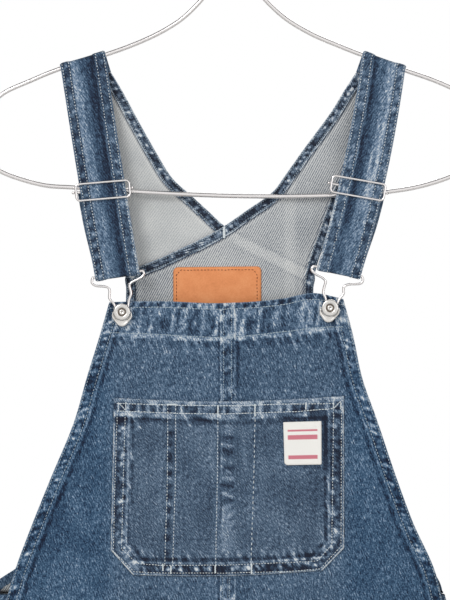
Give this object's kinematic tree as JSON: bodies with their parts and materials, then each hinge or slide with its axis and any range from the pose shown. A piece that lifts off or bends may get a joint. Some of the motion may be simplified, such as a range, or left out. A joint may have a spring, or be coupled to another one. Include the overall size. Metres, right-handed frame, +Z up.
{
  "type": "denim bib overalls on a wire hanger",
  "caption": "Denim bib overalls with crossed back, bib pocket and buckled straps, hanging flat on a chrome wire hanger.",
  "frame": {"origin": "inner top of the hanger's hook, where a rail or peg carries it", "axes": "+Z up, the bib and the front of the garment face -Y, +X to the viewer's right from the front"},
  "size_m": [0.512, 0.0585, 1.684],
  "materials": {
    "denim": "washed mid-blue indigo twill, matte, faded along seams and hems, grey-white inside",
    "strap_denim": "darker indigo twill, matte, faded in a stripe beside the hem",
    "thread": "off-white topstitching thread, slight sheen",
    "leather": "tan leather, satin, faint grain",
    "label_cloth": "off-white woven tape with plain red lines",
    "chrome": "bright plated wire",
    "button_metal": "pressed silver-coloured metal, satin"
  },
  "bodies": {
    "root": {"front_left": "denim", "front_right": "denim", "back_left": "denim", "back_right": "denim", "yoke_inner": "denim", "yoke_outer": "denim", "bib_pocket": "denim", "strap_left": "strap_denim", "strap_right": "strap_denim", "leather_patch": "leather", "pocket_label": "label_cloth", "slider_frame_left": "chrome", "slider_frame_right": "chrome", "slider_bar_left": "chrome", "slider_bar_right": "chrome", "buckle_wire_left": "chrome", "buckle_wire_right": "chrome", "buckle_plate_left": "button_metal", "buckle_plate_right": "button_metal", "bib_button_left": "button_metal", "bib_button_right": "button_metal", "side_button_left_1": "button_metal", "side_button_left_2": "button_metal", "side_button_right_1": "button_metal", "side_button_right_2": "button_metal", "hanger_frame": "chrome", "hanger_hook": "chrome", "hanger_collar": "chrome"}
  },
  "joints": []
}
